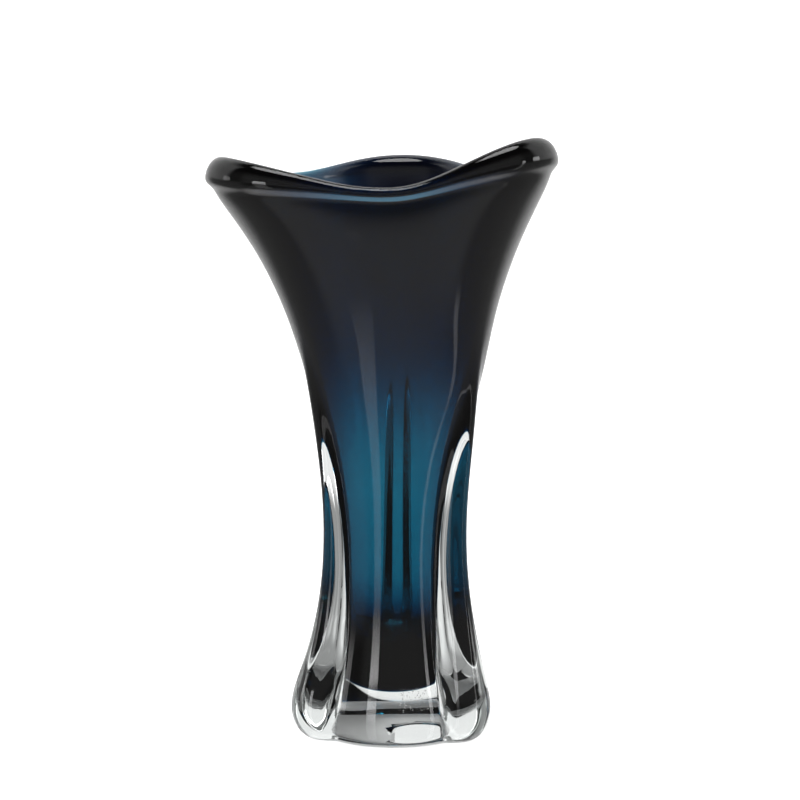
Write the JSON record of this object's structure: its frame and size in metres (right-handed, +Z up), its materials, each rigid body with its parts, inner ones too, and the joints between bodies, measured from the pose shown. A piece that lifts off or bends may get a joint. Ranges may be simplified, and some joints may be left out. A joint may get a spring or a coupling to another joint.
{
  "type": "cased glass vase",
  "caption": "Tall hand-blown vase: a deep blue glass bubble in thick clear glass, pulled into clear fins that form feet, under a flared three-cornered rolled rim.",
  "frame": {"origin": "on the surface the vase stands on, under the middle of the whole vase's box; the round body's own axis stands 7.8 mm along +X and 12.9 mm along -Y from it", "axes": "+Z up along the body, -Y towards the broad front panel, +X towards the right-hand fin; the fins point 154 degrees and 34 degrees clockwise and 86 degrees anticlockwise from +X"},
  "size_m": [0.2241, 0.2018, 0.3965],
  "materials": {
    "blue_glass": "transparent deep petrol blue glass",
    "clear_glass": "clear fire-polished glass, underside of the heel ground flat and dull with a polished hollow",
    "rim_glass": "blue-black glass where the colour is thickest, fire-polished"
  },
  "bodies": {
    "root": {"colour_cup": "blue_glass", "clear_casing": "clear_glass", "fin_left": "clear_glass", "fin_right": "clear_glass", "fin_back": "clear_glass", "heel": "clear_glass", "rolled_rim": "rim_glass"}
  },
  "joints": []
}
